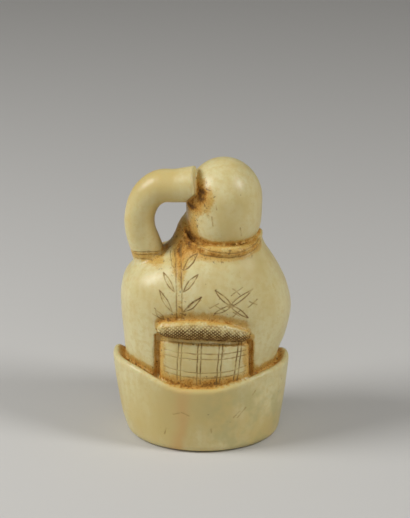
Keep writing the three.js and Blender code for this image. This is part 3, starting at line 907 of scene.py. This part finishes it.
offHead = np.abs(x - head["place"][0])
offArm = fade(armShape(points), 0.03, 0.3)
offTub = fade(tubShape(points), 0.1, 0.4)
inNape = fade(y, 0, 3) * bump(z - 34.3 - 0.02 * offHead**2, 1.2) * upTo(x, 0.6, 2.6)
inGap = bump(np.abs(x + 0.1) - 7.5, 0.6) * fade(y, 6, 7) * upTo(z, 20, 20.8)
extras = [
    patched("armCrease") * offArm,
    patched("flare") + stainAndShadeStrength["rough"] * rough,
    stainAndShadeStrength["nape"] * bump(z - 33.4 - 0.025 * offHead**2, 1.0) * fade(y, 1, 4) * upTo(offHead, 6.0, 8.5),
    stainAndShadeStrength["stipple"] * stippled
    + stainAndShadeStrength["overRoll"] * bump(overRoll - 1.3, 1.3) * fade(y, 5, 7) * upTo(np.abs(x), 6.6, 8.2),
    stainAndShadeStrength["gap"] * inGap * offTub,
    stainAndShadeStrength["drumEdge"] * bump(np.abs(x + 0.15) - 7.0, 1.1) * fade(y, 6, 7) * upTo(z, 20, 21) * offTub,
    stainAndShadeStrength["strap"] * bump(z - 19.9 - 0.05 * x, 0.7) * fade(y, 7, 8.5) * upTo(np.abs(x), 7, 7.8),
    # painted shade on the roll's lower half
    stainAndShadeStrength["paintedShadeLowRoll"] * paintedShadeLowRoll,
    stainAndShadeStrength["cuff"] * bump(z - 31.7, 0.9) * fade(x, 5.5, 7.5),
    stainAndShadeStrength["drumFoot"] * upTo(z, 12.4, 14.4) * fade(y, 7, 9) * upTo(np.abs(x), 7.6, 8.6) * offTub,
    patched("stem")
    + stainAndShadeStrength["stem"] * bump(x - 3.8, 0.75) * fade(y, 4, 6) * fade(z, 22.5, 23.5) * upTo(z, 34.5, 36),
]
stainAndShade = fade(recessed, 0.08, 0.95) * (0.8 - 0.5 * inGap - 0.4 * inNape)
stainAndShade *= (0.4 + 0.6 * offArm) * (1 - 0.6 * fade(z, 43.2, 45)) * (1 - 0.2 * upTo(z, 15, 19))
for extra in extras:
    stainAndShade = 1 - (1 - stainAndShade) * (1 - np.clip(extra, 0, 1))
print("stain worked out, deepest", round(float(stainAndShade.max()), 2))

mesh = bpy.data.meshes.new("netsukeCarving")
mesh.from_pydata((points * mm).tolist(), [], faces.tolist())
mesh.validate()
# the ink mask also holds painted shade on the roll's lower half
for name, values in (("stainAndShade", stainAndShade), ("ink", ink)):
    attribute = mesh.attributes.new(name, "FLOAT", "POINT")
    attribute.data.foreach_set("value", values.astype(np.float32))
mesh.shade_smooth()
netsuke = bpy.data.objects.new("netsukeCarving", mesh)
bpy.context.collection.objects.link(netsuke)
print("carving:", len(mesh.vertices), "points", len(mesh.polygons), "faces")


# Materials.

def joined(tree, node, values):
    for key, value in values:
        if isinstance(value, bpy.types.NodeSocket):
            tree.links.new(value, node.inputs[key])
        else:
            node.inputs[key].default_value = value


def addNode(tree, kind, place, **settings):
    node = tree.nodes.new(kind)
    node.location = place
    inputs = settings.pop("inputs", {})
    for key, value in settings.items():
        setattr(node, key, value)
    joined(tree, node, inputs.items())
    return node


def mapRange(tree, value, low, high, place, toLow=0.0, toHigh=1.0):
    return addNode(tree, "ShaderNodeMapRange", place, interpolation_type="SMOOTHSTEP", inputs={
        "Value": value, "From Min": low, "From Max": high, "To Min": toLow, "To Max": toHigh,
    }).outputs["Result"]


def mixColour(tree, factor, a, b, place):
    node = addNode(tree, "ShaderNodeMix", place, data_type="RGBA")
    joined(tree, node, ((0, factor), (6, a), (7, b)))
    return node.outputs[2]


def sums(tree, operation, a, b, place, clamp=False):
    node = addNode(tree, "ShaderNodeMath", place, operation=operation, use_clamp=clamp)
    joined(tree, node, ((0, a), (1, b)))
    return node.outputs[0]


# A noise that swings by the amount around nothing.
def swinging(tree, value, amount, place):
    centred = sums(tree, "SUBTRACT", value, 0.5, place)
    return sums(tree, "MULTIPLY", centred, amount, (place[0] + 150, place[1]))


def noise(tree, vector, scale, place, detail=3.0, roughness=0.55):
    return addNode(tree, "ShaderNodeTexNoise", place, inputs={
        "Vector": vector, "Scale": scale, "Detail": detail, "Roughness": roughness,
    }).outputs["Fac"]


def stretched(tree, vector, scale, shift, place):
    return addNode(tree, "ShaderNodeMapping", place, inputs={
        "Vector": vector, "Scale": scale, "Location": shift,
    }).outputs["Vector"]


def rgb(red, green, blue):
    return (red, green, blue, 1.0)


ivory = {
    "colours": {
        "cream": rgb(0.75, 0.675, 0.37),
        "honey": rgb(0.64, 0.50, 0.19),
        "grey": rgb(0.49, 0.44, 0.19),
        "pink": rgb(0.66, 0.43, 0.16),
        "gold": rgb(0.62, 0.40, 0.10),
        "amber": rgb(0.54, 0.235, 0.02),
        "brown": rgb(0.11, 0.045, 0.008),
        "rust": rgb(0.42, 0.26, 0.065),
        "ink": rgb(0.13, 0.06, 0.01),
    },
    "gloss": 0.36,
    "dull": 0.9,
    "shine": 0.45,
    "glow": 0.22,
    "relief": 0.35,
    "pitDepth": 0.00006,
}


def addSockets(group, vectors=(), colours=(), values=(), results=()):
    given = [(name, "NodeSocketVector") for name in vectors] + [(name, "NodeSocketColor") for name in colours]
    given += [(name, "NodeSocketFloat") for name in values]
    for name, kind in given:
        group.interface.new_socket(name, in_out="INPUT", socket_type=kind)
    for name, kind in results:
        group.interface.new_socket(name, in_out="OUTPUT", socket_type=kind)
    return addNode(group, "NodeGroupInput", (-1200, 0)).outputs, addNode(group, "NodeGroupOutput", (900, 0)).inputs


# Old ivory: cream to honey, with upright grain, a warm streak and a cooler patch.
# Distances in it are in metres, as the carving is.
streak = {"x": 0.0047, "half": 0.0021, "wander": 0.008, "strength": 0.85}
tubTop = (0.008, 0.015)


def makeGrain():
    group = bpy.data.node_groups.new("ivoryGrain", "ShaderNodeTree")
    given, put = addSockets(
        group, ["Place"], ["Cream", "Honey", "Grey", "Pink"],
        results=[("Color", "NodeSocketColor"), ("Height", "NodeSocketFloat")],
    )
    place = given["Place"]
    clouds = noise(group, stretched(group, place, (1, 1, 0.6), (0, 0, 0), (-1000, 300)), 90, (-800, 300))
    grain = noise(group, stretched(group, place, (1, 1, 0.05), (0.3, 0, 0), (-1000, 0)), 900, (-800, 0), 4)
    spots = noise(group, place, 1100, (-800, 100), 4, 0.65)
    honeyed = mapRange(group, clouds, 0.36, 0.64, (-550, 300), 0, 0.95)
    mottled = mapRange(group, spots, 0.42, 0.68, (-550, 100), 0, 0.5)
    fine = mapRange(group, grain, 0.35, 0.75, (-550, 0), 0, 0.38)
    colour = mixColour(group, honeyed, given["Cream"], given["Honey"], (-300, 300))
    colour = mixColour(group, mottled, colour, given["Honey"], (-200, 300))
    colour = mixColour(group, fine, colour, given["Honey"], (-100, 200))

    # a warm streak runs down the tub's +X side at the back
    axes = addNode(group, "ShaderNodeSeparateXYZ", (-1000, -600), inputs={"Vector": place}).outputs
    inTub = sums(group, "SUBTRACT", 1.0, mapRange(group, axes["Z"], *tubTop, (-800, -500)), (-550, -500))
    wander = swinging(group, clouds, streak["wander"], (-600, -350))
    across = sums(group, "ADD", axes["X"], wander, (-550, -700))
    off = sums(group, "SUBTRACT", across, streak["x"], (-400, -700))
    off = sums(group, "ABSOLUTE", off, 0.0, (-250, -700))
    warm = sums(group, "SUBTRACT", 1.0, mapRange(group, off, 0.0, streak["half"], (-100, -700)), (0, -600))
    atBack = mapRange(group, axes["Y"], 0.0, 0.006, (-250, -500))
    warm = sums(group, "MULTIPLY", warm, sums(group, "MULTIPLY", inTub, atBack, (-100, -500)), (50, -450))
    warm = sums(group, "MULTIPLY", warm, streak["strength"], (150, -400))
    colour = mixColour(group, warm, colour, given["Pink"], (150, 200))

    # and a cool patch lies on its other side
    rightSide = sums(group, "SUBTRACT", 1.0, mapRange(group, axes["X"], -0.004, 0.0045, (-550, -900)), (-350, -900))
    patch = mapRange(group, noise(group, place, 210, (-800, -1050), 3, 0.6), 0.4, 0.62, (-550, -1050))
    cool = sums(group, "MULTIPLY", sums(group, "MULTIPLY", inTub, rightSide, (-150, -900)), patch, (0, -900))
    colour = mixColour(group, sums(group, "MULTIPLY", cool, 0.6, (150, -900)), colour, given["Grey"], (350, 200))
    group.links.new(colour, put["Color"])
    group.links.new(grain, put["Height"])
    return group


# What age leaves: gold, amber, then brown, in the recesses, dark incised lines, specks and small dark pores.
def makeAge():
    group = bpy.data.node_groups.new("ageStain", "ShaderNodeTree")
    given, put = addSockets(
        group, ["Place"], ["Base", "Gold", "Amber", "Brown", "Rust", "Ink"], ["Stain", "Line"],
        [("Color", "NodeSocketColor"), ("Dullness", "NodeSocketFloat"), ("Pits", "NodeSocketFloat")],
    )
    # Stain and Line also carry painted shade on the roll's lower half, coloured here like the stain and the ink
    place, deep = given["Place"], given["Stain"]
    blotch = noise(group, place, 800, (-1000, 300), 4, 0.6)
    speck = noise(group, place, 3300, (-1000, 100), 2, 0.6)
    soaked = sums(group, "ADD", deep, swinging(group, blotch, 1.0, (-800, 300)), (-500, 300))
    soaked = sums(group, "ADD", soaked, swinging(group, speck, 0.45, (-800, 100)), (-350, 300))
    soaked = sums(group, "MULTIPLY", soaked, mapRange(group, deep, 0.02, 0.3, (-650, -50)), (-250, 300))
    gold = mapRange(group, soaked, 0.02, 0.36, (-100, 500), 0, 0.95)
    amber = mapRange(group, soaked, 0.32, 0.9, (-100, 300), 0, 0.92)
    brown = mapRange(group, soaked, 0.66, 1.1, (-100, 100), 0, 0.95)
    colour = mixColour(group, gold, given["Base"], given["Gold"], (0, 400))
    colour = mixColour(group, amber, colour, given["Amber"], (100, 300))
    colour = mixColour(group, brown, colour, given["Brown"], (250, 300))

    # dark specks, fine and coarse, wherever the ground is at all stained
    pepper = mapRange(group, speck, 0.56, 0.68, (-800, -150))
    pepper = sums(group, "MULTIPLY", pepper, mapRange(group, deep, 0.08, 0.5, (-800, -250)), (-500, -150))
    pepper = sums(group, "MULTIPLY", pepper, 0.42, (-350, -150))
    colour = mixColour(group, pepper, colour, given["Brown"], (300, 400))
    dots = mapRange(group, noise(group, place, 1500, (-1000, -150), 1, 0.5), 0.66, 0.74, (-800, -350))
    dots = sums(group, "MULTIPLY", dots, mapRange(group, deep, 0.06, 0.25, (-500, -350)), (-350, -350))
    dots = sums(group, "MULTIPLY", dots, 0.6, (-200, -350))
    colour = mixColour(group, dots, colour, given["Brown"], (320, 450))

    # lines that are worn here and there, with a rusty edge
    wear = mapRange(group, blotch, 0.32, 0.62, (-100, -250), 0.45, 1.1)
    line = sums(group, "MULTIPLY", given["Line"], wear, (100, -200), True)
    rusty = mapRange(group, line, 0.02, 0.45, (250, -50), 0, 0.6)
    inked = mapRange(group, line, 0.28, 0.95, (250, -200), 0, 0.95)
    colour = mixColour(group, rusty, colour, given["Rust"], (350, 300))
    colour = mixColour(group, inked, colour, given["Ink"], (450, 300))

    # pores, in drifts
    pores = mapRange(group, noise(group, place, 1900, (-1000, -400), 1, 0.5), 0.735, 0.8, (-800, -400))
    drift = mapRange(group, noise(group, place, 160, (-1000, -600), 2, 0.5), 0.45, 0.65, (-800, -600))
    pores = sums(group, "MULTIPLY", pores, drift, (-600, -450))
    dark = sums(group, "MULTIPLY", pores, 0.6, (400, -100))
    colour = mixColour(group, dark, colour, given["Ink"], (600, 300))
    group.links.new(colour, put["Color"])
    group.links.new(sums(group, "MAXIMUM", amber, line, (600, 0)), put["Dullness"])
    crumbly = sums(group, "MULTIPLY", amber, speck, (400, -400))
    group.links.new(sums(group, "ADD", pores, crumbly, (600, -300)), put["Pits"])
    return group


def makeIvory():
    material = bpy.data.materials.new("ivory")
    material.use_nodes = True
    tree = material.node_tree
    tree.nodes.clear()
    place = addNode(tree, "ShaderNodeTexCoord", (-1100, 0)).outputs["Object"]
    deep = addNode(tree, "ShaderNodeAttribute", (-1100, -300), attribute_name="stainAndShade").outputs["Fac"]
    lined = addNode(tree, "ShaderNodeAttribute", (-1100, -500), attribute_name="ink").outputs["Fac"]
    colours = {name.capitalize(): value for name, value in ivory["colours"].items()}
    grain = addNode(tree, "ShaderNodeGroup", (-800, 100), node_tree=makeGrain(), inputs={
        "Place": place, **{name: colours[name] for name in ("Cream", "Honey", "Grey", "Pink")},
    }).outputs
    age = addNode(tree, "ShaderNodeGroup", (-500, 0), node_tree=makeAge(), inputs={
        "Place": place, "Base": grain["Color"], "Stain": deep, "Line": lined,
        **{name: colours[name] for name in ("Gold", "Amber", "Brown", "Rust", "Ink")},
    }).outputs
    roughness = mapRange(tree, age["Dullness"], 0, 1, (-250, -100), ivory["gloss"], ivory["dull"])
    ridges = sums(tree, "MULTIPLY", grain["Height"], 0.25, (-250, -300))
    height = sums(tree, "SUBTRACT", ridges, age["Pits"], (-100, -300))
    relief = addNode(tree, "ShaderNodeBump", (50, -300), inputs={
        "Strength": ivory["relief"], "Distance": ivory["pitDepth"], "Height": height,
    })
    shader = addNode(tree, "ShaderNodeBsdfPrincipled", (300, 0), inputs={
        "Base Color": age["Color"], "Roughness": roughness, "Normal": relief.outputs["Normal"],
        "IOR": 1.5, "Specular IOR Level": ivory["shine"],
        "Subsurface Weight": ivory["glow"], "Subsurface Radius": (1.0, 0.55, 0.25), "Subsurface Scale": 0.0009,
    })
    output = addNode(tree, "ShaderNodeOutputMaterial", (600, 0))
    tree.links.new(shader.outputs["BSDF"], output.inputs["Surface"])
    return material


netsuke.data.materials.append(makeIvory())
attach(netsuke, "root")
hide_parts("netsuke")
print("ivory made")


# The floor, the light and the camera.

studio = {
    "floor": rgb(0.62, 0.61, 0.585),
    "floorHalf": 3.0,
    "air": 0.13,
    "airColour": rgb(1.0, 0.97, 0.925),
    "key": {"place": (-0.29, 0.13, 0.31), "size": 0.13, "power": 0.73},
    "fill": {"place": (0.32, 0.07, 0.28), "size": 0.22, "power": 1.2},
    "front": {"place": (0.02, 0.36, 0.26), "size": 0.3, "power": 0.16},
    "aim": (-0.00025, 0, 0.0302),
    "distance": 0.340,
    "height": 20,
    "lens": 143.7,
}


def makeFloor():
    floorMesh = bpy.data.meshes.new("floor")
    half = studio["floorHalf"]
    corners = [(-half, -half, 0), (half, -half, 0), (half, half, 0), (-half, half, 0)]
    floorMesh.from_pydata(corners, [], [(0, 1, 2, 3)])
    floor = bpy.data.objects.new("floor", floorMesh)
    bpy.context.collection.objects.link(floor)
    material = bpy.data.materials.new("floorPaper")
    material.use_nodes = True
    shader = material.node_tree.nodes["Principled BSDF"]
    shader.inputs["Base Color"].default_value = studio["floor"]
    shader.inputs["Roughness"].default_value = 0.9
    floorMesh.materials.append(material)


def pointAt(thing, target):
    thing.rotation_euler = (Vector(target) - thing.location).to_track_quat("-Z", "Y").to_euler()


def addLight(name, made):
    data = bpy.data.lights.new(name, "AREA")
    data.shape = "DISK"
    data.size = made["size"]
    data.energy = made["power"]
    light = bpy.data.objects.new(name, data)
    light.location = made["place"]
    pointAt(light, studio["aim"])
    bpy.context.collection.objects.link(light)


makeFloor()
for name in ("key", "fill", "front"):
    addLight(name, studio[name])
world = bpy.data.worlds.new("studioAir")
world.use_nodes = True
background = world.node_tree.nodes["Background"]
background.inputs["Color"].default_value = studio["airColour"]
background.inputs["Strength"].default_value = studio["air"]
bpy.context.scene.world = world
bpy.context.scene.view_settings.view_transform = "Standard"

camera = bpy.data.objects.new("camera", bpy.data.cameras.new("camera"))
tilt = math.radians(studio["height"])
aimX, aimY, aimZ = studio["aim"]
camera.location = (aimX, aimY + studio["distance"] * math.cos(tilt), aimZ + studio["distance"] * math.sin(tilt))
pointAt(camera, studio["aim"])
camera.data.lens = studio["lens"]
camera.data.clip_start = 0.01
bpy.context.collection.objects.link(camera)
bpy.context.scene.camera = camera
print("studio made")
